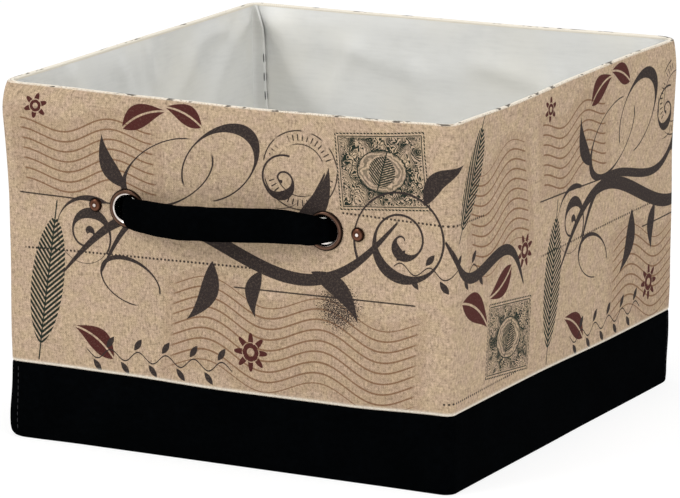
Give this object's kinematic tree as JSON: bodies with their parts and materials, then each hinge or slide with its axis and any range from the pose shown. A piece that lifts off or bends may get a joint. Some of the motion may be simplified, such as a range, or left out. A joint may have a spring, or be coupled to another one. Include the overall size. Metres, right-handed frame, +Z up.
{
  "type": "fabric storage basket",
  "caption": "Open-topped cloth storage basket with board-stiffened walls, a turned rim, a contrasting base band, a loose base insert and a stuffed strap handle on the front wall.",
  "frame": {"origin": "on the floor, under the middle of the basket's body, at the centre of the bottom panel's underside", "axes": "+Z up, the front wall with the handle faces -Y, +X to the right as seen from the front"},
  "size_m": [0.343, 0.3845, 0.254],
  "materials": {
    "canvas": "matte cotton canvas, tan, with a printed pattern",
    "black_cloth": "matte black cotton canvas",
    "lining": "off-white non-woven lining cloth",
    "board": "grey chipboard",
    "stuffing": "cotton filler cord",
    "nickel": "warm polished plating",
    "copper": "brown copper plating"
  },
  "bodies": {
    "basket": {"printed_sleeve": "canvas", "black_band": "black_cloth", "bottom_panel": "black_cloth", "front_board": "board", "right_board": "board", "back_board": "board", "left_board": "board", "lining_front": "lining", "lining_right": "lining", "lining_back": "lining", "lining_left": "lining", "lining_bottom": "lining", "lining_seam_back_right": "lining", "lining_seam_back_left": "lining", "lining_seam_front_left": "lining", "lining_seam_front_right": "lining", "eyelet_left": "nickel", "eyelet_right": "nickel", "eyelet_washer_left": "nickel", "eyelet_washer_right": "nickel", "rivet_cap_left": "copper", "rivet_cap_right": "copper", "rivet_back_left": "copper", "rivet_back_right": "copper", "handle_tail_left": "black_cloth", "handle_tail_right": "black_cloth"},
    "handle": {"handle_cover": "black_cloth", "handle_core": "stuffing"},
    "insert": {"insert_cover": "lining", "insert_board": "board"}
  },
  "joints": [
    {"name": "handle_swing", "type": "hinge", "parent": "basket", "child": "handle", "pos_m": [0, -0.189, 0.1725], "axis": [1, 0, 0], "range_deg": [-60, 60]},
    {"name": "insert_lift", "type": "slide", "parent": "basket", "child": "insert", "axis": [0, 0, 1], "range_m": [0, 0.27]}
  ]
}
